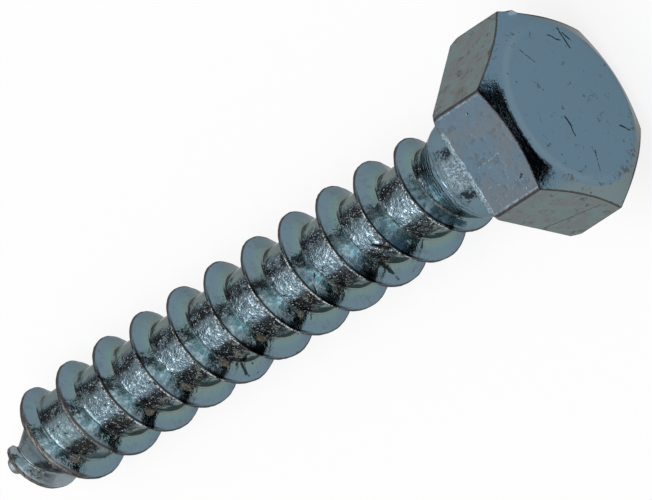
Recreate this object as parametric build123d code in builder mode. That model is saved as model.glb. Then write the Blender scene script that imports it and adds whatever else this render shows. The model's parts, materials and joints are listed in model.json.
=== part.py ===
from build123d import *
from math import atan2, cos, degrees, pi, radians, sin, tan
import os

# Hexagon-head wood screw (lag screw, coach screw): one piece of steel, forged and rolled.
# It is modelled upright about Z, with the bearing face of the head at z = 0, the head above
# it and the point below, and is then laid down as it comes to rest. "Depth" is the distance
# below the bearing face.

# Head
across_flats = 16.0
head_height = 6.5
crown_diameter = 14.4  # flat circle on top of the head
crown_edge = 0.2  # its edge, broken again
chamfer_angle = 29.0
trim_width = 0.3  # corners broken on the bearing side, across the head
trim_height = 0.8  # and along it

# Neck, shoulder and core
length = 60.0  # bearing face to point
neck_diameter = 8.75
neck_length = 5.2
neck_flare = 0.5  # where the neck widens under the head
shoulder_length = 2.0  # cone from the neck down to the core
core_diameter = 6.85

# Point of the core: a cone that ends in a blunt knob
point_length = 5.7
point_diameter = 1.66
knob_length = 1.3
knob_chamfer = 0.4

# Right-hand wood-screw thread
thread_diameter = 10.1  # under the neck
point_thread_diameter = 9.5  # where the crest starts to curve in to the point
pitch = 4.5
flank_angle = 30.0
runout_length = 6.2  # where the crest rises out of the neck
taper_length = 9.4  # where the crest curves in to the point
crest_depth = 8.2  # depth of the first full crest, on the side that lies uppermost
foot_sink = 0.2  # how far the thread reaches into the core and neck that carry it
stations = 14  # points in each turn of the thread's edges

corner_radius = across_flats / 3**0.5
neck_radius = neck_diameter / 2
core_radius = core_diameter / 2
point_radius = point_diameter / 2
crest_radius = thread_diameter / 2
end_crest_radius = point_thread_diameter / 2
shoulder_end = neck_length + shoulder_length
cone_start = length - point_length
cone_end = length - knob_length
thread_start = neck_length - pitch / 8
thread_end = length - point_radius
runout_end = thread_start + runout_length
taper_start = length - taper_length


def core_at(depth):
    """Radius of the neck, shoulder, core and point."""
    down_shoulder = min(max(depth - neck_length, 0) / shoulder_length, 1)
    down_cone = min(max(depth - cone_start, 0) / (cone_end - cone_start), 1)
    radius = neck_radius + (core_radius - neck_radius) * down_shoulder
    return radius + (point_radius - core_radius) * down_cone


def crest_at(depth):
    """Radius of the thread's crest, which starts inside the neck and ends inside the point."""
    if depth < runout_end:
        buried = neck_radius - foot_sink
        return buried + (crest_radius - buried) * (depth - thread_start) / runout_length
    if depth < taper_start:
        along = (depth - runout_end) / (taper_start - runout_end)
        return crest_radius + (end_crest_radius - crest_radius) * along
    buried = point_radius - foot_sink
    inward = (depth - taper_start) / (thread_end - taper_start)
    return end_crest_radius - (end_crest_radius - buried) * inward**4


def thread_edge(side):
    """The thread's crest (0), or its foot on the head's side (1) or the point's side (-1)."""
    count = round((thread_end - thread_start) / pitch * stations)
    points = []
    for station in range(count + 1):
        depth = thread_end - (thread_end - thread_start) * station / count
        crest = crest_at(depth)
        foot = min(core_at(depth), crest) - foot_sink
        radius = foot if side else crest
        rise = side * (crest - foot) * tan(radians(flank_angle))
        turn = pi + 2 * pi * (crest_depth - depth) / pitch
        points.append((radius * cos(turn), radius * sin(turn), rise - depth))
    return Edge.make_spline(points, parameters=range(count + 1))


with BuildPart() as upright:
    # Head: a hexagon inside a turned outline
    with BuildSketch():
        RegularPolygon(across_flats / 2, 6, major_radius=False, rotation=30)
    extrude(amount=head_height)
    with BuildSketch(Plane.XZ) as blank:
        chamfer_drop = (corner_radius - crown_diameter / 2) * tan(radians(chamfer_angle))
        with BuildLine():
            Polyline(
                (0, 0),
                (corner_radius - trim_width, 0),
                (corner_radius, trim_height),
                (corner_radius, head_height - chamfer_drop),
                (crown_diameter / 2, head_height),
                (0, head_height),
                close=True,
            )
        make_face()
        chamfer(blank.vertices().sort_by(Axis.Y)[-2:].sort_by(Axis.X)[-1], crown_edge)
    revolve(mode=Mode.INTERSECT)

    # Neck, shoulder, core and point
    with BuildSketch(Plane.XZ) as shank:
        with BuildLine():
            Polyline(
                (0, 0),
                (neck_radius + neck_flare, 0),
                (neck_radius, -neck_flare),
                (neck_radius, -neck_length),
                (core_radius, -shoulder_end),
                (core_radius, -cone_start),
                (point_radius, -cone_end),
                (point_radius, knob_chamfer - length),
                (point_radius - knob_chamfer, -length),
                (0, -length),
                close=True,
            )
        make_face()
    revolve()

    # Thread: a sharp ridge of three ruled faces between its edges, closed at both ends
    crest, upper_foot, lower_foot = (thread_edge(side) for side in (0, 1, -1))
    faces = []
    for pair in ((crest, lower_foot), (lower_foot, upper_foot), (upper_foot, crest)):
        faces.append(Face.make_surface_from_curves(*pair))
    for end in (0, 1):
        faces.append(Face(Wire.make_polygon([crest @ end, upper_foot @ end, lower_foot @ end])))
    add(Solid(Shell(faces)))

# At rest the head stands on an edge of its bearing face and the thread on a crest near the point
crests_below = range(int((taper_start - crest_depth) / pitch), int((thread_end - crest_depth) / pitch))
rest_depths = [crest_depth + pitch * (turn + 0.5) for turn in crests_below]
tilt = min(degrees(atan2(across_flats / 2 - crest_at(depth), depth)) for depth in rest_depths)
with BuildPart() as laid:
    with Locations(Location((0, 0, 0), (0, 90 - tilt, 0))):
        add(upright.part)

# The finished screw, centred over the surface that it lies on
box = laid.part.bounding_box()
with BuildPart() as lag_screw:
    with Locations((-box.center().X, -box.center().Y, -box.min.Z)):
        add(laid.part)

os.makedirs("parts", exist_ok=True)
lag_screw.part.label = "lag_screw"
export_step(lag_screw.part, "parts/lag_screw.step")
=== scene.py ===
import json
import math

import bpy
from mathutils import Matrix, Vector, geometry, noise


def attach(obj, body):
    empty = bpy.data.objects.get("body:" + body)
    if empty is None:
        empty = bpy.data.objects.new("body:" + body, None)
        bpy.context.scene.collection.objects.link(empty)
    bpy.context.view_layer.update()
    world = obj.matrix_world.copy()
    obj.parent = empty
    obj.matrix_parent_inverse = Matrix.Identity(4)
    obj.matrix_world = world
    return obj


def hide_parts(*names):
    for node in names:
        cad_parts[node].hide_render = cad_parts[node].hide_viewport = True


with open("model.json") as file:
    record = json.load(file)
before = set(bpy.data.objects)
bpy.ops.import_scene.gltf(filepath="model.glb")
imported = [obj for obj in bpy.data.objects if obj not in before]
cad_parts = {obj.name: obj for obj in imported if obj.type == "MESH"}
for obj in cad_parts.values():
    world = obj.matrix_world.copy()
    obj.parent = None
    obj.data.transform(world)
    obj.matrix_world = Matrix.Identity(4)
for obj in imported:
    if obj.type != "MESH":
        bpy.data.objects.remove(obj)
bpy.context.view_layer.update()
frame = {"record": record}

scene = bpy.context.scene
scene.view_settings.view_transform = "Standard"

# Sizes are in millimetres, on the screw standing on its point with the bearing face at height 0
mm = 0.001
neckRadius = 4.375  # where the head and the shank meet


# Camera
cameraLook = {
    "lens": 1104.3,
    "sensorWidth": 36.0,
    "farthest": 10.0,
    "aim": (0.004184, 0.000842, 0.005293),
    "distance": 1.6,
    "direction": (0.545795, -0.019605, 0.837689),
    "across": (0.701744, -0.535616, -0.469756),
}

def addCamera(look):
    back = Vector(look["direction"]).normalized()
    across = Vector(look["across"])
    across = (across - back * across.dot(back)).normalized()
    up = back.cross(across)
    data = bpy.data.cameras.new("studioCamera")
    data.lens = look["lens"]
    data.sensor_width = look["sensorWidth"]
    data.clip_end = look["farthest"]
    camera = bpy.data.objects.new("studioCamera", data)
    scene.collection.objects.link(camera)
    turned = Matrix((across, up, back)).transposed().to_4x4()
    stand = Vector(look["aim"]) + back * look["distance"]
    camera.matrix_world = Matrix.Translation(stand) @ turned
    scene.camera = camera

addCamera(cameraLook)
print("camera placed")


# A socket of a node tree that can be used in sums
class Wire:
    def __init__(self, tree, socket=None):
        self.tree = tree
        self.socket = socket

    # Any node: its type, its settings, then the values or wires of its sockets
    def node(self, kind, settings=None, sockets=None, output=0):
        made = self.tree.nodes.new(kind)
        for name, value in (settings or {}).items():
            setattr(made, name, value)
        for key, value in (sockets or {}).items():
            if isinstance(value, Wire):
                self.tree.links.new(value.socket, made.inputs[key])
            else:
                made.inputs[key].default_value = value
        return Wire(self.tree, made.outputs[output] if made.outputs else None)

    def maths(self, operation, *values):
        return self.node("ShaderNodeMath", {"operation": operation}, dict(enumerate(values)))

    def vector(self, operation, *values, output=0):
        return self.node("ShaderNodeVectorMath", {"operation": operation}, dict(enumerate(values)), output)

    def __add__(self, other):
        return self.maths("ADD", self, other)

    def __sub__(self, other):
        return self.maths("SUBTRACT", self, other)

    def __rsub__(self, other):
        return self.maths("SUBTRACT", other, self)

    def __mul__(self, other):
        return self.maths("MULTIPLY", self, other)

    def __truediv__(self, other):
        return self.maths("DIVIDE", self, other)

    def __rtruediv__(self, other):
        return self.maths("DIVIDE", other, self)

    def __neg__(self):
        return self.maths("SUBTRACT", 0.0, self)

    def __abs__(self):
        return self.maths("ABSOLUTE", self)

    __radd__ = __add__
    __rmul__ = __mul__

    # Another output of the same node
    def output(self, name):
        return Wire(self.tree, self.socket.node.outputs[name])

    def maximum(self, other):
        return self.maths("MAXIMUM", self, other)

    # 0 below low, 1 above high, with a soft change between
    def ramp(self, low, high):
        settings = {"interpolation_type": "SMOOTHSTEP"}
        return self.node("ShaderNodeMapRange", settings, {"Value": self, "From Min": low, "From Max": high})

    # Rises from 0 to 1 over the first pair of values and falls back over the second
    def between(self, low, high):
        return self.ramp(low[0], low[1]) * (1.0 - self.ramp(high[0], high[1]))

    # 1 at place, falling to 0 over spread on both sides
    def near(self, place, spread):
        return 1.0 - abs((self - place) / spread).ramp(0.0, 1.0)

    # This wire is a mask between two colours
    def blend(self, below, above):
        settings = {"data_type": "RGBA"}
        return self.node("ShaderNodeMix", settings, {0: self, 6: below, 7: above}, output=2)


# Studio, in metres: a pale floor, a soft box above, and a dark seam of the light tent round it
studio = {
    "floorRadius": 0.11,
    "floorColour": (0.8, 0.8, 0.8, 1.0),
    "floorGlow": 0.84,
    "lampSize": 0.5,
    "lampHeight": 0.46,
    "lampShift": -0.03,
    "lampPower": 2.2,
    "seamRadius": 0.6,
    # Degrees: round from the head's side, then the seam's lower and upper edge above the floor
    "seamEdges": ((-180, 24, 24), (-128, 24, 24), (-108, 17, 30), (-90, 13, 28), (-60, 8, 20), (-40, 4, 17),
        (-31, 2, 15), (-24, 0, 14.5), (-16, -4, 14), (-6, -4, 14), (2, -4, 12), (9, -4, 10.5), (18, -4, 8.5),
        (26, -4, 8), (31, -2, 8), (40, 1, 10), (60, 6, 17), (90, 10, 26), (108, 13, 27), (128, 20, 20),
        (180, 20, 20)),
    "seamColour": (0.006, 0.006, 0.007, 1.0),
    "seamFarColour": (0.40, 0.40, 0.41, 1.0),  # behind the screw's point
    "seamFade": (0.0, -0.3),
    "fill": 0.35,
}

def newMaterial(name):
    material = bpy.data.materials.new(name)
    material.use_nodes = True
    material.node_tree.nodes.clear()
    return material, Wire(material.node_tree)

# 1 where the camera, a polished surface or glass looks
def seenRays(wire):
    camera = wire.node("ShaderNodeLightPath", output="Is Camera Ray")
    return (camera + camera.output("Is Glossy Ray") + camera.output("Is Transmission Ray")).ramp(0.0, 1.0)

# Pale card that keeps the shadow and stays white away from it
def addFloor(look):
    bpy.ops.mesh.primitive_circle_add(vertices=96, radius=look["floorRadius"], fill_type="NGON")
    floor = bpy.context.object
    floor.name = "studioFloor"
    material, wire = newMaterial("paleCard")
    card = wire.node("ShaderNodeBsdfDiffuse", sockets={"Color": look["floorColour"]})
    glow = wire.node("ShaderNodeEmission", sockets={"Color": (1.0, 1.0, 1.0, 1.0), "Strength": 1.0})
    both = wire.node("ShaderNodeMixShader", sockets={0: seenRays(wire) * look["floorGlow"], 1: card, 2: glow})
    wire.node("ShaderNodeOutputMaterial", sockets={"Surface": both})
    floor.data.materials.append(material)

# A dark ring whose height changes on its way round
def addSeam(look):
    radius = look["seamRadius"]
    bpy.ops.mesh.primitive_cylinder_add(vertices=120, radius=radius, depth=radius, end_fill_type="NOTHING")
    seam = bpy.context.object
    seam.name = "tentSeam"
    for vertex in seam.data.vertices:
        swing = math.degrees(math.atan2(vertex.co.y, vertex.co.x))
        for near, far in zip(look["seamEdges"], look["seamEdges"][1:]):
            if near[0] <= swing <= far[0]:
                edge = 1 if vertex.co.z < 0 else 2
                part = (swing - near[0]) / (far[0] - near[0])
                height = near[edge] + (far[edge] - near[edge]) * part
        vertex.co.z = radius * math.tan(math.radians(height))
    seam.visible_camera = False
    seam.visible_diffuse = False
    seam.visible_shadow = False
    material, wire = newMaterial("darkCloth")
    place = wire.node("ShaderNodeTexCoord", output="Object")
    farSide = wire.node("ShaderNodeSeparateXYZ", sockets={0: place}).ramp(*look["seamFade"])
    cloth = wire.node("ShaderNodeBsdfDiffuse", sockets={
        "Color": farSide.blend(look["seamColour"], look["seamFarColour"])})
    wire.node("ShaderNodeOutputMaterial", sockets={"Surface": cloth})
    seam.data.materials.append(material)

def addLamp(look):
    lamp = bpy.data.lights.new("softBox", "AREA")
    lamp.shape = "DISK"
    lamp.size = look["lampSize"]
    lamp.energy = look["lampPower"]
    box = bpy.data.objects.new("softBox", lamp)
    box.location = (look["lampShift"], 0, look["lampHeight"])
    box.visible_camera = False
    scene.collection.objects.link(box)

# White to look at, softer as light
def addWorld(look):
    world = bpy.data.worlds.new("paleRoom")
    world.use_nodes = True
    world.node_tree.nodes.clear()
    scene.world = world
    wire = Wire(world.node_tree)
    strength = seenRays(wire) * (1.0 - look["fill"]) + look["fill"]
    sky = wire.node("ShaderNodeBackground", sockets={"Color": (1.0, 1.0, 1.0, 1.0), "Strength": strength})
    wire.node("ShaderNodeOutputWorld", sockets={"Surface": sky})

addFloor(studio)
addSeam(studio)
addLamp(studio)
addWorld(studio)
print("studio built")


def selectNothing():
    if bpy.context.object and bpy.context.object.mode == "EDIT":
        bpy.ops.object.mode_set(mode="OBJECT")
    bpy.ops.object.select_all(action="DESELECT")

def applyModifier(piece, kind, **settings):
    bpy.context.view_layer.objects.active = piece
    modifier = piece.modifiers.new(kind.lower(), kind)
    for name, value in settings.items():
        setattr(modifier, name, value)
    bpy.ops.object.modifier_apply(modifier=modifier.name)

# 0 below low, 1 above high, straight between; or the other way round
def rising(value, low, high):
    return min(max((value - low) / (high - low), 0), 1)


# Head: rings that run from the crown over the chamfer, down the flats and in under the head
hexHead = {
    "acrossFlats": 16.0,
    "height": 6.5,
    "crownDiameter": 14.4,
    "crownRound": 1.3,
    "chamferSlope": 29.0,
    "cornerRound": 0.22,
    "edgeRound": 0.09,
    "trimWidth": 0.3,
    "trimHeight": 0.8,
    "bearingFillet": 0.12,
    "neckFlare": 0.5,
    "rimWaver": 0.012,
    "crownWaver": 0.008,
    # A lump on the rim: where it is, how wide, which way it stands out and how far
    "lumpPlace": (1.0, 8.45, 5.72),
    "lumpSpread": 0.4,
    "lumpPush": (0.08, 0.50, 0.86),
    "lumpHeight": 0.24,
    # The burr along one bearing edge
    "burrEnds": (-4.5, 3.3),
    "burrHeight": 0.42,
    "burrStand": 0.022,
    "burrHang": 0.10,
    # Rings: shares of the crown and the chamfer, heights above the bearing face, shares under the head
    "crownRings": (0.1, 0.25, 0.4, 0.55, 0.7, 0.82, 0.92),
    "chamferRings": (0.12, 0.25, 0.38, 0.51, 0.64, 0.77, 0.9, 0.97),
    "bearingRings": (1.2, 0.8, 0.6, 0.48, 0.38, 0.3, 0.24, 0.18, 0.12),
    "underRings": (0.25, 0.5, 0.75, 0.97, 1.0),
    "flatSteps": 40,
    "cornerSteps": 6,
}

def hexOutline(head):
    half = head["acrossFlats"] / 2
    tangent = head["cornerRound"] * math.tan(math.radians(30))
    corner = half * math.tan(math.radians(30)) - tangent
    points = []
    for flat in range(6):
        turned = Matrix.Rotation(math.radians(60 * flat), 2)
        steps = [2 * step / head["flatSteps"] - 1 for step in range(head["flatSteps"])]
        for part in steps[:1] + [-0.985] + steps[1:] + [0.985]:
            points.append(turned @ Vector((half, corner * part)))
        centre = Vector((half - head["cornerRound"], corner))
        for step in range(head["cornerSteps"]):
            swing = math.radians(60 * step / head["cornerSteps"])
            spoke = Vector((math.cos(swing), math.sin(swing))) * head["cornerRound"]
            points.append(turned @ (centre + spoke))
    return points

def headProfile(head, reach):
    # Radius and height along one spoke, whose flat lies at radius reach
    top, crown = head["height"], head["crownDiameter"] / 2
    slope = math.radians(head["chamferSlope"])
    profile = [(crown * part, top) for part in head["crownRings"]]
    tangent = head["crownRound"] * math.tan(slope / 2)
    for step in range(5):
        swing = slope * step / 4
        profile.append((crown - tangent + head["crownRound"] * math.sin(swing),
            top - head["crownRound"] * (1 - math.cos(swing))))
    steep = math.radians(90) - slope
    edge = head["edgeRound"] * math.tan(steep / 2)
    start = profile[-1]
    end = (reach - edge * math.cos(slope), top - (reach - crown - edge * math.cos(slope)) * math.tan(slope))
    for part in head["chamferRings"]:
        profile.append((start[0] + (end[0] - start[0]) * part, start[1] + (end[1] - start[1]) * part))
    for step in range(5):
        swing = slope + steep * step / 4
        profile.append((reach - head["edgeRound"] * (1 - math.sin(swing)),
            end[1] - head["edgeRound"] * (math.cos(slope) - math.cos(swing))))
    cornerRadius = head["acrossFlats"] / 3 ** 0.5
    last = profile[-1][1]
    highest = head["bearingRings"][0]
    heights = [last - 0.05] + [last + (highest - last) * step / 9 for step in range(1, 9)]
    for height in heights + list(head["bearingRings"]):
        trimmed = cornerRadius - head["trimWidth"] * max(0.0, 1 - height / head["trimHeight"])
        profile.append((min(reach, trimmed), height))
    side, fillet = profile[-1][0], head["bearingFillet"]
    for step in range(1, 4):
        swing = math.radians(30 * step)
        profile.append((side - fillet * (1 - math.cos(swing)), fillet * (1 - math.sin(swing))))
    under, flare = profile[-1][0], head["neckFlare"]
    for part in head["underRings"]:
        profile.append((under + (neckRadius + flare - under) * part, 0.0))
    for step in range(1, 6):
        swing = math.radians(18 * step)
        profile.append((neckRadius + flare * (1 - math.sin(swing)) - 0.01, flare * (math.cos(swing) - 1)))
    # The last rings close the head inside the neck
    profile += [(neckRadius - 0.3, -flare), (3.0, -flare)]
    return profile

def forgedPoint(point, head):
    # The head is not quite flat, with a lump on its rim and a burr along one bearing edge
    outward = Vector((point.x, point.y, 0.0))
    crown = head["crownDiameter"] / 2
    rim = rising(outward.length, crown - 0.2, crown + 0.2)
    point += outward.normalized() * rim * head["rimWaver"] * noise.noise(point * 0.45)
    if point.z > head["height"] - 0.1:
        point.z += head["crownWaver"] * noise.noise(point * 0.4)
    off = (point - Vector(head["lumpPlace"])).length / head["lumpSpread"]
    point += Vector(head["lumpPush"]) * head["lumpHeight"] * math.exp(-off * off)
    start, end = head["burrEnds"]
    along = rising(point.y, start, start + 0.4) * rising(point.y, end, end - 0.4)
    flat = -head["acrossFlats"] / 2
    if point.x < flat + 0.5 and along > 0:
        ragged = head["burrHeight"] + 0.1 * noise.noise(Vector((0.0, point.y * 1.3, 4.0)))
        burr = along * rising(point.z, ragged, ragged - 0.1) * rising(point.x, flat + 0.4, flat + 0.2)
        rough = noise.noise(point * 2.6) + 0.7 * noise.noise(point * 6.1)
        point.x -= burr * (0.008 + head["burrStand"] * rough)
        if point.z < 0.15:
            point.z -= burr * (head["burrHang"] + 0.08 * rough)
    return point

def makeHead(head):
    outline = hexOutline(head)
    spokes = [headProfile(head, point.length) for point in outline]
    rings = len(spokes[0])
    selectNothing()
    bpy.ops.mesh.primitive_circle_add(vertices=len(outline), radius=1.0)
    piece = bpy.context.object
    bpy.ops.object.mode_set(mode="EDIT")
    bpy.ops.mesh.select_all(action="SELECT")
    for ring in range(rings - 1):
        bpy.ops.mesh.extrude_edges_move(TRANSFORM_OT_translate={"value": (0, 0, -1)})
    bpy.ops.object.mode_set(mode="OBJECT")
    # Each ring's points go to their places on the spokes
    ends = ([], [])  # of the first and the last ring
    for vertex in piece.data.vertices:
        ring = round(-vertex.co.z)
        swing = math.atan2(vertex.co.y, vertex.co.x)
        spoke = round(swing / (2 * math.pi) * len(outline)) % len(outline)
        radius, height = spokes[spoke][ring]
        if ring in (0, rings - 1):
            ends[ring > 0].append(vertex.index)
        point = outline[spoke].normalized() * radius
        vertex.co = forgedPoint(Vector((point.x, point.y, height)), head)
    # Both ends are closed
    for end in ends:
        bpy.ops.object.mode_set(mode="EDIT")
        bpy.ops.mesh.select_mode(type="VERT")
        bpy.ops.mesh.select_all(action="DESELECT")
        bpy.ops.object.mode_set(mode="OBJECT")
        for index in end:
            piece.data.vertices[index].select = True
        bpy.ops.object.mode_set(mode="EDIT")
        bpy.ops.mesh.edge_face_add()
        bpy.ops.object.mode_set(mode="OBJECT")
    return piece

headPiece = makeHead(hexHead)
print("head:", len(headPiece.data.vertices), "points")


# Shank: one pitch of the thread, screwed up the length and then shaped to its run-out and point
shank = {
    "length": 60.0,
    "neckLength": 5.2,
    "shoulderLength": 2.0,
    "coreRadius": 3.425,
    "coneLength": 5.7,
    "knobLength": 1.3,
    "knobRadius": 0.83,
    "crestRadius": 5.05,
    "pointCrestRadius": 4.75,
    "pitch": 4.5,
    "flankAngle": 30.0,
    "crestLand": 0.07,
    "landWear": 0.10,
    "landWearDepths": (36.0, 54.0),
    "tipBlunting": 0.06,
    "tipBluntingDepths": (56.5, 59.0),
    "leastWidth": 0.08,
    "footFillet": 0.08,
    "threadStart": 4.64,
    "runout": 6.2,
    "taper": 9.4,
    "crestDepth": 8.2,  # of a crest that faces up
    "taperPower": 3.5,
    "buried": 0.2,
    "tipCut": 0.45,
    "tipSteps": ((0.25, 0.88), (0.16, 0.65)),  # drop and scale of each step of the blunt tip
    "turns": 15,
    "pitchesBelow": 12.5,  # the lowest pitch lies wholly below the tip
    "steps": 176,
    "mergeGap": 0.0005,
    "rootRows": 16,
    "flankRows": 4,
    "rootCrumple": 0.03,
    "flankCrumple": 0.003,
    "crestWear": 0.04,
}

# Dents in the thread: start, end and width of each line
gouges = [
    ((-2.54, -2.36, -15.78), (-1.93, -3.33, -15.79), 0.17),
    ((-1.93, -3.33, -15.79), (-1.32, -4.30, -16.00), 0.13),
    ((-3.26, -1.05, -14.90), (-2.73, -2.07, -13.86), 0.19),
    ((-4.20, -0.35, -21.21), (-4.39, -1.66, -21.28), 0.10),
    ((-3.60, -0.10, -20.60), (-4.10, -0.90, -21.20), 0.07),
    ((-2.00, -2.78, -32.13), (-1.79, -2.92, -32.93), 0.12),
    ((-1.79, -2.92, -32.93), (-1.49, -3.21, -33.62), 0.18),
    ((-1.49, -3.21, -33.62), (-1.32, -3.95, -33.90), 0.17),
    ((-1.32, -3.95, -33.90), (-1.05, -4.25, -33.97), 0.10),
]

def coreRadius(depth, form):
    shoulder = rising(depth, form["neckLength"], form["neckLength"] + form["shoulderLength"])
    cone = rising(depth, form["length"] - form["coneLength"], form["length"] - form["knobLength"])
    radius = neckRadius + (form["coreRadius"] - neckRadius) * shoulder
    return radius + (form["knobRadius"] - form["coreRadius"]) * cone

def crestRadius(depth, form):
    runoutEnd = form["threadStart"] + form["runout"]
    taperStart = form["length"] - form["taper"]
    threadEnd = form["length"] - form["knobRadius"]
    if depth < runoutEnd:
        buried = neckRadius - form["buried"]
        return buried + (form["crestRadius"] - buried) * (depth - form["threadStart"]) / form["runout"]
    if depth < taperStart:
        along = (depth - runoutEnd) / (taperStart - runoutEnd)
        return form["crestRadius"] + (form["pointCrestRadius"] - form["crestRadius"]) * along
    buried = form["knobRadius"] - form["buried"]
    inward = min((depth - taperStart) / (threadEnd - taperStart), 1.2)
    return form["pointCrestRadius"] - (form["pointCrestRadius"] - buried) * inward ** form["taperPower"]

def threadRows(form):
    # Distances down one pitch, from a crest to the next, with rows where the shape turns
    foot = (form["crestRadius"] - form["coreRadius"]) * math.tan(math.radians(form["flankAngle"]))
    half = [0.0, form["crestLand"]]
    for step in range(1, form["flankRows"] + 1):
        half.append(form["crestLand"] + (foot - 0.1 - form["crestLand"]) * step / form["flankRows"])
    half.append(foot)
    rest = form["pitch"] - 2 * (foot + 0.1)
    root = [foot + 0.1 + rest * step / form["rootRows"] for step in range(form["rootRows"] + 1)]
    return half + root + [form["pitch"] - row for row in reversed(half)], foot

# A groove along each line, with metal raised on both sides
def dentLift(point, lines):
    lift = 0.0
    for start, end, width in lines:
        if abs(point.z - start[2]) < 2.0:
            near, part = geometry.intersect_point_line(point, Vector(start), Vector(end))
            if -0.05 < part < 1.05:
                off = (point - near).length / width
                lift -= 0.6 * width * math.exp(-off * off)
                lift += 0.25 * width * math.exp(-3 * (off - 1.6) ** 2)
    return lift

def shapeThread(point, form, foot):
    # Every point goes with the crest that is nearest along the screw
    swing = math.atan2(point.y, point.x)
    depth = -point.z
    pitch = form["pitch"]
    crestAt = form["crestDepth"] - pitch * (swing - math.pi) / (2 * math.pi)
    crestAt += round((depth - crestAt) / pitch) * pitch
    crest = crestRadius(crestAt, form)
    worn = Vector((3.1 * math.cos(swing), 3.1 * math.sin(swing), 0.9 * crestAt))
    crest += form["crestWear"] * (noise.noise(worn) + 0.6 * noise.noise(worn * 3.7))
    away = depth - crestAt
    side = 1 if away >= 0 else -1
    spread = math.tan(math.radians(form["flankAngle"]))
    # Half the ridge's width, worked out again where its foot stands
    width = max(crest - coreRadius(crestAt, form), 0) * spread
    width = max(crest - coreRadius(crestAt + side * width, form), 0) * spread
    width = max(width, form["leastWidth"])
    away = abs(away)
    if away <= foot:
        away = away * width / foot
    else:
        away = width + (away - foot) * (pitch / 2 - width) / (pitch / 2 - foot)
    depth = crestAt + side * away
    blunt = form["crestLand"] + form["landWear"] * rising(crestAt, *form["landWearDepths"])
    blunt += form["tipBlunting"] * rising(crestAt, *form["tipBluntingDepths"])
    ridge = crest - max(away - blunt, 0) / spread
    core = coreRadius(depth, form)
    # A small fillet where the flank meets the core
    fillet = form["footFillet"]
    mixed = max(fillet - abs(ridge - core), 0) / fillet
    radius = max(ridge, core) + mixed * mixed * fillet / 4
    point = Vector((radius * math.cos(swing), radius * math.sin(swing), -depth))
    # The root is crumpled like foil, the flanks hardly
    crumple = noise.noise(point * 1.5) + 0.5 * noise.noise(point * 3.3)
    root = rising(depth, 6.0, 7.5) * (1 - rising(radius - core, 0.04, 0.26))
    root *= 0.4 + 0.6 * rising(abs(math.cos(swing)), 0.4, 0.7)
    lift = (form["rootCrumple"] * root + form["flankCrumple"]) * crumple
    lift += dentLift(point, gouges)
    return point + Vector((math.cos(swing), math.sin(swing), 0)) * lift

def makeShank(form):
    rows, foot = threadRows(form)
    lowest = form["crestDepth"] + form["pitch"] * form["pitchesBelow"]
    selectNothing()
    bpy.ops.mesh.primitive_plane_add(size=1.0)
    piece = bpy.context.object
    bpy.ops.object.mode_set(mode="EDIT")
    bpy.ops.mesh.select_all(action="SELECT")
    bpy.ops.mesh.merge(type="CENTER")
    bpy.ops.transform.translate(value=(form["crestRadius"], 0, -lowest))
    for low, high in zip(rows, rows[1:]):
        bpy.ops.mesh.extrude_region_move(TRANSFORM_OT_translate={"value": (0, 0, high - low)})
    bpy.ops.object.mode_set(mode="OBJECT")
    applyModifier(piece, "SCREW", axis="Z", steps=form["steps"], render_steps=form["steps"],
        iterations=form["turns"], screw_offset=form["pitch"], use_merge_vertices=True,
        merge_threshold=form["mergeGap"])
    # Each turn is joined to the next
    bpy.ops.object.mode_set(mode="EDIT")
    bpy.ops.mesh.select_all(action="SELECT")
    bpy.ops.mesh.remove_doubles(threshold=form["mergeGap"])
    bpy.ops.object.mode_set(mode="OBJECT")
    print("screwed:", len(piece.data.vertices), "points")
    for vertex in piece.data.vertices:
        vertex.co = shapeThread(vertex.co, form, foot)
    # Cut square inside the head and near the tip, and closed
    bpy.ops.object.mode_set(mode="EDIT")
    bpy.ops.mesh.select_all(action="SELECT")
    bpy.ops.mesh.bisect(plane_co=(0, 0, 1.0), plane_no=(0, 0, 1), use_fill=True, clear_outer=True)
    bpy.ops.mesh.select_all(action="SELECT")
    bpy.ops.mesh.bisect(plane_co=(0, 0, form["tipCut"] - form["length"]), plane_no=(0, 0, -1),
        use_fill=True, clear_outer=True)
    # The cap at the tip is still selected: two steps round it
    for drop, scale in form["tipSteps"]:
        bpy.ops.mesh.extrude_region_move(TRANSFORM_OT_translate={"value": (0, 0, -drop)})
        bpy.ops.transform.resize(value=(scale, scale, 1.0))
    bpy.ops.mesh.select_all(action="SELECT")
    bpy.ops.mesh.normals_make_consistent(inside=False)
    bpy.ops.object.mode_set(mode="OBJECT")
    return piece

shankPiece = makeShank(shank)
print("shank:", len(shankPiece.data.vertices), "points")


# Where the screw lies: its axis and bearing face come from the record
mounts = {mount["name"]: mount for mount in frame["record"]["mounts"]}
axis = Vector(mounts["head_top"]["axis"]).normalized()
bearing = Vector(mounts["head_top"]["pos_m"]) - axis * hexHead["height"] * mm
leanAngle = math.acos(axis.z)
laid = Matrix.Translation(bearing) @ Matrix.Rotation(leanAngle, 4, "Y")

# One piece: head and shank joined, laid down and smoothed
def joinScrew(head, body):
    selectNothing()
    applyModifier(body, "BOOLEAN", operation="UNION", solver="EXACT", object=head)
    bpy.data.objects.remove(head, do_unlink=True)
    body.name = "zincScrew"
    body.data.name = "zincScrew"
    body.data.transform(laid @ Matrix.Scale(mm, 4))
    body.matrix_world = Matrix()
    selectNothing()
    body.select_set(True)
    bpy.context.view_layer.objects.active = body
    bpy.ops.object.shade_smooth_by_angle(angle=math.radians(38))
    return body

screw = joinScrew(headPiece, shankPiece)
print("screw:", len(screw.data.vertices), "points")


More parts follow.
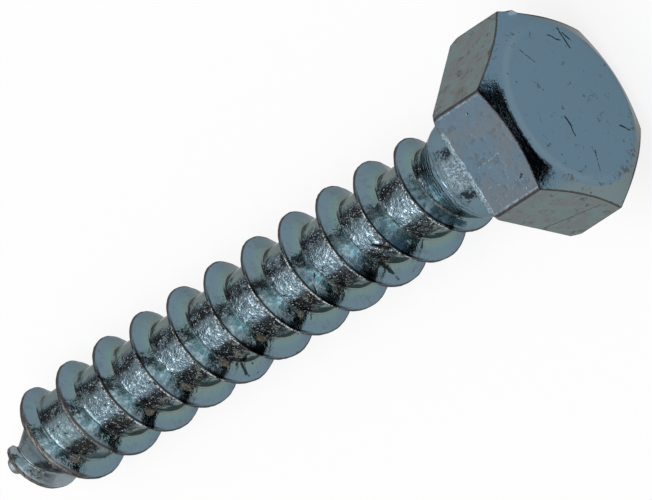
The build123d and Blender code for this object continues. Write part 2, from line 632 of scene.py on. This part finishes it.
# Zinc plate: smooth on the head and flanks, crumpled in the thread's root, stained and scratched, with
# painted highlights, painted shade and painted dark reflections on the side that faces up
# Marks that are only painted, written as the dents are: dirt, dark scratches and bright ones
smears = [
    ((-3.63, -2.22, -16.38), (-3.52, -3.21, -16.54), 0.34),
    ((-4.34, -2.01, -30.32), (-3.35, -3.21, -30.00), 0.42),
    ((-2.00, -2.78, -32.13), (-0.74, -3.34, -32.50), 0.07),
    ((-0.54, -4.18, -33.79), (-0.45, -4.44, -33.91), 0.08),
    ((-0.56, -3.52, -33.43), (-0.50, -3.55, -33.45), 0.12),
]

scratches = [
    ((-1.42, -0.78, 6.5), (-1.36, -1.55, 6.5), 0.10),
    ((-1.36, -1.55, 6.5), (-1.60, -2.45, 6.5), 0.06),
    ((4.11, 5.60, 6.5), (4.14, 3.71, 6.5), 0.08),
    ((2.57, 5.48, 6.5), (3.58, 4.66, 6.5), 0.07),
    ((4.35, 5.05, 6.5), (4.75, 4.25, 6.5), 0.08),
    ((-1.70, 5.59, 6.5), (-0.86, 4.17, 6.5), 0.04),
    ((4.27, -3.57, 6.5), (5.05, -4.32, 6.5), 0.09),
    ((-0.39, -4.24, 6.5), (-1.27, -5.80, 6.5), 0.04),
    ((-3.34, -7.31, 0.43), (-1.92, -8.13, 5.14), 0.05),
    ((-8.0, -3.16, 4.55), (-8.0, -2.72, 4.62), 0.05),
    ((-8.0, -2.97, 4.36), (-8.0, -2.89, 4.80), 0.05),
    ((-8.0, -3.07, 4.44), (-8.0, -2.79, 4.74), 0.04),
    ((-8.0, 3.46, 3.34), (-8.0, 3.52, 3.40), 0.08),
    ((-8.0, -3.95, 4.46), (-8.0, -3.88, 4.52), 0.07),
]

brightScratches = [
    ((-8.0, -0.59, 1.53), (-8.0, -0.42, 3.89), 0.02),
    ((-8.0, -1.10, 1.90), (-8.0, -0.95, 3.10), 0.016),
    ((-8.0, 1.70, 0.90), (-8.0, 1.20, 2.10), 0.014),
    ((-8.0, -2.30, 1.20), (-8.0, -2.60, 2.40), 0.018),
    ((-8.0, -3.70, 2.20), (-8.0, -3.30, 3.30), 0.016),
    ((0.80, 8.50, 5.80), (1.20, 8.40, 5.80), 0.30),
]

zincLook = {
    "crown": (0.119, 0.198, 0.262, 1.0),
    "crownRimSheen": (0.170, 0.245, 0.300, 1.0),
    "facingFlatDarkened": (0.140, 0.172, 0.200, 1.0),
    "facingBlue": (0.115, 0.178, 0.232, 1.0),
    "sides": (0.185, 0.205, 0.210, 1.0),
    "sidesGreen": (0.180, 0.232, 0.235, 1.0),
    "flank": (0.140, 0.212, 0.258, 1.0),
    "green": (0.150, 0.248, 0.240, 1.0),
    "beige": (0.200, 0.235, 0.215, 1.0),
    "point": (0.36, 0.39, 0.41, 1.0),
    "tealReflection": (0.245, 0.365, 0.400, 1.0),
    "root": (0.125, 0.172, 0.200, 1.0),
    "bright": (0.50, 0.62, 0.68, 1.0),
    "crestGlintSilver": (0.72, 0.78, 0.80, 1.0),
    "black": (0.012, 0.011, 0.012, 1.0),
    "edge": (0.045, 0.033, 0.028, 1.0),
    "brown": (0.095, 0.072, 0.060, 1.0),
    "rust": (0.18, 0.075, 0.03, 1.0),
    "gold": (0.25, 0.205, 0.140, 1.0),
    "burr": (0.150, 0.205, 0.242, 1.0),
    "dull": (0.150, 0.145, 0.140, 1.0),
    "grazing": (0.55, 0.55, 0.55, 1.0),  # of the plate seen edge on
    "smooth": 0.13,  # from here on, the roughness of each finish
    "rubbed": 0.36,
    "crumpled": 0.22,
    "matte": 0.42,
    "ringPitch": 0.36,
    "ringWander": 16.0,
}

# Where each finish and each painted highlight, shade and dark reflection comes in and where it goes out
# again: radians round from the uppermost flat
zincSectors = {
    "smoothRoot": ((0.78, 1.05), (1.9, 2.4)),
    "upper": ((-0.5, -0.2), (0.2, 0.5)),
    "firstFlank": ((-0.9, -0.5), (0.3, 0.6)),
    "darkReflectionOneSide": ((0.30, 0.50), (0.72, 0.95)),
    "darkReflectionOtherSide": ((-1.0, -0.8), (-0.42, -0.25)),
    "low": ((-0.95, -0.75), (-0.45, -0.3)),
    "shade": ((0.08, 0.20), (0.36, 0.50)),
    "paintedShadeCrest": ((-1.2, -0.8), (0.5, 0.9)),
    "paintedGlintCrest": ((-1.0, -0.6), (0.3, 0.6)),
    "roughPatch": ((-0.22, -0.12), (0.48, 0.62)),
    "besidePatch": ((0.26, 0.34), (0.50, 0.62)),
    "besidePatchToo": ((-0.62, -0.52), (-0.34, -0.24)),
    "rings": ((-1.1, -0.7), (0.5, 0.9)),
}

def zincMaterial(look, sectors, form, head):
    material, wire = newMaterial("zincPlate")
    place = wire.node("ShaderNodeTexCoord", output="Object")
    standing = wire.node("ShaderNodeMapping", {"vector_type": "TEXTURE"}, {
        "Vector": place, "Location": bearing, "Rotation": (0.0, leanAngle, 0.0), "Scale": (mm, mm, mm)})
    x = wire.node("ShaderNodeSeparateXYZ", sockets={0: standing})
    y, z = x.output("Y"), x.output("Z")
    depth = -z
    radius = x.maths("SQRT", x * x + y * y)
    front = x.maths("ARCTAN2", y, -x)  # radians round from the uppermost flat

    def grain(scale, detail=2.0, rough=0.5, vector=standing):
        return wire.node("ShaderNodeTexNoise", sockets={
            "Vector": vector, "Scale": scale, "Detail": detail, "Roughness": rough})

    # From 0 to height while the depth goes from start to end, straight between
    def slope(start, end, height):
        return wire.node("ShaderNodeMapRange", sockets={
            "Value": depth, "From Min": start, "From Max": end, "To Min": 0.0, "To Max": height})

    # Noises that several finishes share
    cloud = grain(0.35, 3.0)
    wander = grain(0.8, 3.0)
    mottle = grain(1.1, 4.0, 0.6)
    pick = grain(2.2, 3.0, 0.7)
    foil = grain(1.5, 3.0, 0.6)
    speck = grain(3.4, 2.0, 0.6)

    # Shank: height over the core, height under the crest, and what lies in the root
    neckEnd, length = form["neckLength"], form["length"]
    core = neckRadius - slope(neckEnd, neckEnd + form["shoulderLength"], neckRadius - form["coreRadius"])
    core = core - slope(length - form["coneLength"], length - form["knobLength"],
        form["coreRadius"] - form["knobRadius"])
    rise = radius - core
    runoutEnd = form["threadStart"] + form["runout"]
    taperStart = length - form["taper"]
    buried = neckRadius - form["buried"]
    edge = buried + slope(form["threadStart"], runoutEnd, form["crestRadius"] - buried)
    edge = edge - slope(runoutEnd, taperStart, form["crestRadius"] - form["pointCrestRadius"])
    inward = slope(taperStart, length - form["knobRadius"], 1.0)
    reach = form["pointCrestRadius"] - form["knobRadius"] + form["buried"]
    under = edge - inward.maths("POWER", inward, form["taperPower"]) * reach - radius
    onShank = depth.ramp(-0.02, 0.02)
    inThread = depth.ramp(neckEnd + 1.2, neckEnd + 2.2)
    last = depth.ramp(length - 14.0, length - 9.0)
    pointed = depth.ramp(length - 5.5, length - 3.0)
    wavering = abs(front + (wander - 0.5) * 0.5)
    facing = 1.0 - wavering.between(*sectors["smoothRoot"]) * 0.88
    root = inThread * (1.0 - rise.ramp(0.04, 0.14))
    facingRoot = root * facing
    crumpled = facingRoot * (1.0 - last * 0.5) * (1.0 - pointed * 0.6)

    # Head: the six sides, their edges and the side that faces up
    half, crownRadius, top = head["acrossFlats"] / 2, head["crownDiameter"] / 2, head["height"]
    tilt = math.tan(math.radians(head["chamferSlope"]))
    bevel = z + (radius - crownRadius) * tilt - top  # 0 on the chamfer
    turn = front / math.radians(60)
    turn = abs(turn - turn.maths("ROUND", turn))  # 0 in the middle of a flat, 0.5 at a corner
    inside = half - radius * turn.maths("COSINE", turn * math.radians(60))
    toCorner = (0.5 - turn) * math.radians(60) * head["acrossFlats"] / 3 ** 0.5
    onHead = 1.0 - onShank
    flat = onHead * radius.ramp(half - 0.25, half - 0.1) * (1.0 - bevel.ramp(-0.06, -0.02))
    chamfer = onHead * radius.ramp(crownRadius - 0.05, crownRadius + 0.1) * bevel.ramp(-0.06, -0.02)
    crown = onHead * z.ramp(top - 1.5, top - 1.3) * (1.0 - flat)
    upward = (-x).ramp(half - 0.3, half - 0.05)

    # Plate colour of the head; the flat that faces up is painted darker than the other flats, as painted
    # shade, with blue clouds
    blue = (cloud + mottle * 0.6).ramp(0.66, 0.95)
    side = wander.ramp(0.42, 0.58).blend(look["sides"], look["sidesGreen"])
    side = upward.blend(side, blue.blend(look["facingFlatDarkened"], look["facingBlue"]))
    colour = flat.blend(look["crown"], side)
    # A lighter ring on the crown's rim towards the flat that faces up: painted sheen
    rim = crown * radius.near(crownRadius - 0.45, 0.6) * (-x).ramp(-2.0, 4.0)
    colour = (rim * 0.55).blend(colour, look["crownRimSheen"])
    # The chamfer's far side painted beige: painted sheen of the plate seen edge on
    farChamferSheen = chamfer * x.ramp(1.0, 5.0).maximum(y.ramp(-4.0, -6.5))
    colour = (farChamferSheen * 0.6).blend(colour, look["beige"])

    # Plate colour of the flanks: greenish and beige near the root; where they face up, teal streaks are a
    # painted reflection, and bright streaks there and on the first turn are painted highlights
    warp = rise + (cloud - 0.5) * 0.6
    greenish = inThread * (1.0 - warp.ramp(0.35, 0.9))
    flank = (greenish * (0.75 - last * 0.45)).blend(look["flank"], look["green"])
    beigeish = inThread * (1.0 - warp.ramp(0.05, 0.4))
    flank = (beigeish * (0.7 - last * 0.4)).blend(flank, look["beige"])
    flank = (pointed * (mottle + 0.2)).blend(flank, look["point"])
    streaks = wire.node("ShaderNodeCombineXYZ", sockets={0: front * 5.0, 1: radius * 0.7, 2: z * 0.7})
    streaks = grain(2.0, 3.0, 0.6, streaks)
    upper = front.between(*sectors["upper"]) * inThread * rise.ramp(0.0, 0.1)
    flank = (upper * streaks.ramp(0.35, 0.6)).blend(flank, look["tealReflection"])
    flank = (upper * streaks.ramp(0.54, 0.62) * 0.5).blend(flank, look["bright"])
    first = depth.near(neckEnd + 2.4, 1.4) * front.between(*sectors["firstFlank"]) * rise.ramp(0.05, 0.3)
    flank = (first * streaks.ramp(0.40, 0.58) * 0.6).blend(flank, look["bright"])
    colour = onShank.blend(colour, flank)

    # Root: crumpled, with black soot specks all over, painted dark reflection as black patches at both sides
    # of the front, and painted glints as bright specks
    colour = crumpled.blend(colour, look["root"])
    colour = (crumpled * speck.ramp(0.58, 0.70) * 0.8).blend(colour, look["bright"])
    darkReflectionSides = front.between(*sectors["darkReflectionOneSide"]).maximum(front.between(*sectors["darkReflectionOtherSide"]))
    grit = grain(6.0, 2.0, 0.6)
    behind = wavering.ramp(1.9, 2.4) * cloud.ramp(0.45, 0.55)
    sootAndDarkReflection = speck.ramp(0.36, 0.30) + (darkReflectionSides + behind) * (mottle + (grit - 0.5) * 0.9).ramp(0.36, 0.46)
    colour = (facingRoot * sootAndDarkReflection * (0.93 - pointed * 0.4)).blend(colour, look["black"])
    colour = (crumpled * darkReflectionSides * grit.ramp(0.60, 0.66) * 0.7).blend(colour, look["bright"])

    # Painted dark reflection, low on each turn's flank and in a band beside the front, black blotched with
    # beige; golden patches and rust
    low = (front + (mottle - 0.5) * 0.5).between(*sectors["low"]) * inThread
    paintedDarkFlank = low * (1.0 - rise.ramp(0.7, 1.3)) * (mottle + (grit - 0.5) * 0.8).ramp(0.54, 0.46)
    shade = (front + (speck - 0.5) * 0.25).between(*sectors["shade"])
    shade = shade * depth.ramp(9.0, 11.0) * rise.ramp(0.15, 0.5)
    paintedDarkFlank = paintedDarkFlank.maximum(shade * (mottle + (grit - 0.5) * 0.9).ramp(0.40, 0.50))
    colour = (paintedDarkFlank * (0.45 + depth.ramp(14.0, 22.0) * 0.4)).blend(colour, look["black"])
    blotch = low * (mottle + (grit - 0.5) * 0.5).ramp(0.52, 0.62)
    colour = (blotch * (1.0 - rise.ramp(0.7, 1.3)) * 0.7).blend(colour, look["beige"])
    across, up = (front + 0.68) / 0.13, (rise - 0.32) / 0.26
    gold = (across * across + up * up + (speck - 0.5) * 2.5).ramp(1.2, 0.4) * depth.ramp(16.0, 24.0)
    gold = gold * wander.ramp(0.38, 0.50) * (1.0 - pointed)
    colour = (gold * pick.ramp(0.30, 0.55) * 0.75).blend(colour, look["gold"])
    rusty = low * (1.0 - rise.ramp(0.5, 0.9)) * pick.ramp(0.62, 0.68)
    colour = (rusty * 0.8).blend(colour, look["rust"])

    # Crest: painted shade as a dark line under a painted highlight, both broken, a dark outline that is
    # partly painted dark reflection, and dull with drawn lines near the point
    swept = wire.node("ShaderNodeCombineXYZ", sockets={0: front * 3.0, 1: radius * 9.0, 2: z * 9.0})
    hair = grain(1.0, 2.0, 0.6, swept)
    crest = depth.between((5.0, 7.5), (length - 1.2, length - 0.8))
    crestShadeSide = crest * front.between(*sectors["paintedShadeCrest"])
    lip = (1.0 - (under + (speck - 0.5) * 0.08).ramp(0.01, 0.06)) * (1.0 - pointed * 0.6)
    colour = (crestShadeSide * (under + (pick - 0.5) * 0.12).between((0.03, 0.08), (0.16, 0.24)) * 0.9).blend(
        colour, look["black"])
    thin = 1.0 - (under + (speck - 0.5) * 0.06).ramp(0.05, 0.14)
    colour = (crest * lip.maximum(thin * (1.0 - crestShadeSide)) * 0.85).blend(colour, look["edge"])
    crestGlint = crest * front.between(*sectors["paintedGlintCrest"])
    colour = (crestGlint * lip * pick.ramp(0.42, 0.50) * (0.75 - last * 0.45)).blend(colour, look["crestGlintSilver"])
    colour = (crestShadeSide * lip * grit.ramp(0.54, 0.44) * 0.9).blend(colour, look["black"])
    worn = last * crestShadeSide * (1.0 - under.ramp(0.16, 0.30))
    colour = (worn * 0.8).blend(colour, look["dull"])
    colour = (worn * hair.ramp(0.50, 0.58) * 0.8).blend(colour, look["black"])
    # Foot of the flank: a dark line of painted shade in the crease
    foot = rise.between((0.04, 0.07), (0.12, 0.18)) * inThread * facing
    colour = (foot * pick.ramp(0.3, 0.5) * 0.75).blend(colour, look["black"])

    # Head edges, dark and uneven, and a painted highlight beside the corners of the flat that faces up
    shore = (-bevel).maximum(inside) + (pick - 0.5) * 0.16 - x.ramp(0.0, 4.0) * 0.16
    edgeLine = onHead * radius.ramp(half - 0.4, half - 0.2) * z.ramp(top - 2.0, top - 1.7)
    edgeLine = edgeLine * (1.0 - shore.ramp(0.05, 0.13))
    cornerLine = flat * (1.0 - (toCorner + (pick - 0.5) * 0.2).ramp(0.08, 0.17))
    colour = (edgeLine.maximum(cornerLine) * 0.85).blend(colour, look["edge"])
    glint = flat * (toCorner + (pick - 0.5) * 0.2).between((0.16, 0.22), (0.26, 0.34)) * upward
    colour = (glint * pick.ramp(0.45, 0.6) * 0.4).blend(colour, look["bright"])
    # Painted dark reflection on the chamfer above the facing side, with ragged ends
    hairy = wire.node("ShaderNodeCombineXYZ", sockets={0: front * 12.0, 1: radius * 0.5, 2: z * 0.5})
    hairy = grain(1.0, 3.0, 0.6, hairy)
    ragged = abs(front) + (hairy - 0.5) * 0.45 + (pick - 0.5) * 0.2
    frayed = radius.near(crownRadius + 0.05, 0.3) * hairy.ramp(0.45, 0.6)
    chamferDarkReflection = chamfer * (1.0 - ragged.ramp(0.44, 0.58)) * (1.0 - frayed)
    colour = (chamferDarkReflection * grit.ramp(0.36, 0.44) * 0.8).blend(colour, look["black"])

    # Stains and worms of tarnish on the head, dots all over
    stain = (flat * 0.38 + inThread * (1.0 - root) * 0.22) * (mottle + (pick - 0.5) * 0.5).ramp(0.54, 0.70)
    colour = stain.blend(colour, look["brown"])
    worm = onHead * (1.0 - abs(wander - 0.5).ramp(0.004, 0.018))
    worm = worm * mottle.ramp(0.54, 0.58) * cloud.ramp(0.46, 0.52)
    colour = (worm * (0.75 - upward * 0.45)).blend(colour, look["edge"])
    rimStain = crown * radius.near(crownRadius - 0.2, 0.9) * y.ramp(-1.5, -4.0)
    rimStain = rimStain * (mottle + (speck - 0.5) * 0.6).ramp(0.54, 0.64)
    colour = (rimStain * 0.8).blend(colour, look["brown"])
    dots = wire.node("ShaderNodeTexVoronoi", sockets={"Vector": standing, "Scale": 0.9, "Randomness": 1.0},
        output="Distance")
    dotted = (1.0 - (dots + (speck - 0.5) * 0.1).ramp(0.06, 0.09)) * wander.ramp(0.52, 0.58)
    colour = (dotted * 0.8).blend(colour, look["edge"])

    # Scratches and dents, dark along their lines
    shake = wire.node("ShaderNodeTexNoise", sockets={"Vector": standing, "Scale": 1.7}, output="Color")
    bent = shake.vector("MULTIPLY_ADD", shake, (0.24, 0.24, 0.24), standing)
    bent = bent.vector("SUBTRACT", bent, (0.12, 0.12, 0.12))

    def marked(lines):
        marks = 0.0
        for start, end, width in lines:
            reach = Vector(end) - Vector(start)
            offset = standing.vector("SUBTRACT", bent, start)
            part = offset.vector("DOT_PRODUCT", offset, reach, output="Value") / reach.length_squared
            part = part.maths("MINIMUM", part.maximum(0.0), 1.0)
            along = wire.node("ShaderNodeVectorMath", {"operation": "SCALE"}, {
                0: tuple(reach), "Scale": part})
            away = offset.vector("LENGTH", offset.vector("SUBTRACT", offset, along), output="Value")
            marks = (1.0 - away.ramp(width * 0.5, width * 1.3)).maximum(marks)
        return marks

    smeared = marked(smears) * grit.ramp(0.36, 0.46)
    colour = (smeared * 0.85).blend(colour, look["black"])
    dented = marked(gouges) * pick.ramp(0.16, 0.26)
    cut = dented.maximum(marked(scratches) * pick.ramp(0.30, 0.42))
    colour = (cut * 0.92).blend(colour, look["black"])
    scraped = marked(brightScratches) * pick.ramp(0.35, 0.55)
    colour = (scraped * 0.45).blend(colour, look["bright"])

    # Burr along the bearing edge and the rough patch on the neck below it
    folds = grain(1.6, 2.0)
    lace = z + (folds - 0.5) * 0.5 + (speck - 0.5) * 0.2
    lace = lace.ramp(head["burrHeight"] - 0.04, head["burrHeight"] + 0.02)
    start, end = head["burrEnds"]
    strip = (-x).ramp(half - 0.6, half - 0.4) * (1.0 - lace)
    strip = strip * y.between((start - 0.1, start + 0.2), (end - 0.2, end + 0.1))
    wave = folds * 0.35
    patch = (front + wave).between(*sectors["roughPatch"])
    patch = patch * (depth + wave).between((0.6, 1.0), (4.4, 4.9))
    matte = strip.maximum(patch)
    colour = matte.blend(colour, look["burr"])
    net = 1.0 - abs(pick - 0.5).ramp(0.01, 0.05)
    colour = (matte * net * 0.5).blend(colour, look["edge"])
    colour = (matte * grit.ramp(0.56, 0.64) * 0.2).blend(colour, look["bright"])
    # Painted dark reflection on both sides of the rough patch
    beside = front + (speck - 0.5) * 0.3
    beside = beside.between(*sectors["besidePatch"]) + beside.between(*sectors["besidePatchToo"])
    neckDarkReflection = beside * (depth + wave).between((1.6, 2.4), (4.4, 5.2))
    neckDarkReflection = neckDarkReflection * (mottle + (grit - 0.5) * 0.6).ramp(0.38, 0.48)
    colour = (neckDarkReflection * (1.0 - matte) * 0.92).blend(colour, look["black"])
    # Rings that the rolling left below the neck, with painted shade in their grooves on the front side
    rolling = depth * 2 * math.pi / look["ringPitch"] + wander * look["ringWander"]
    ring = rolling.maths("SINE", rolling)
    ringShade = depth.near(neckEnd + 0.5, 1.7) * front.between(*sectors["rings"]) * ring.ramp(0.35, 0.9)
    colour = (ringShade * rise.ramp(0.45, 0.15) * pick.ramp(0.36, 0.5) * 0.9).blend(colour, look["black"])

    # Roughness
    rough = look["smooth"] + crumpled * (look["crumpled"] - look["smooth"])
    rough = rough + matte * (look["matte"] - look["smooth"])
    rough = rough + flat * (1.0 - upward) * (look["rubbed"] - look["smooth"])
    rough = rough + pointed * 0.25 + last * root * 0.15 + gold * 0.3 + (mottle - 0.5) * 0.08
    rough = rough + cut * 0.15 + worn * 0.3 + (upper + first) * 0.12 + foot * 0.3

    # Bump, in millimetres: crumpled root, drawn lines round the chamfer and neck, a little everywhere
    height = foil * crumpled * 0.10 + speck * (crumpled * 0.04 + chamfer * 0.012)
    height = height + grit * crumpled * 0.03 + hair * chamfer * 0.006
    rings = depth.near(neckEnd + 0.6, 1.7) * (1.0 - rise.ramp(0.2, 0.5)) * facing
    height = height + rings * (ring * mottle.ramp(0.40, 0.60) * 0.02 + hair * 0.04)
    lower = inThread * facing * (1.0 - rise.ramp(0.4, 1.2)) * (1.0 - root)
    height = height + speck * last * onShank * 0.02 + foil * lower * 0.05 + streaks * upper * 0.03
    height = height + mottle * 0.010 + pick * 0.005
    height = height + folds * matte * 0.02 + speck * matte * 0.04 - net * matte * 0.02 - cut * 0.03
    bump = wire.node("ShaderNodeBump", sockets={"Height": height, "Distance": mm})
    shader = wire.node("ShaderNodeBsdfPrincipled", sockets={
        "Base Color": colour, "Metallic": 1.0, "Roughness": rough, "Normal": bump,
        "Specular Tint": look["grazing"]})
    wire.node("ShaderNodeOutputMaterial", sockets={"Surface": shader})
    return material

screw.data.materials.clear()
screw.data.materials.append(zincMaterial(zincLook, zincSectors, shank, hexHead))
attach(screw, "root")
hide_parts("lag_screw")
print("plated")
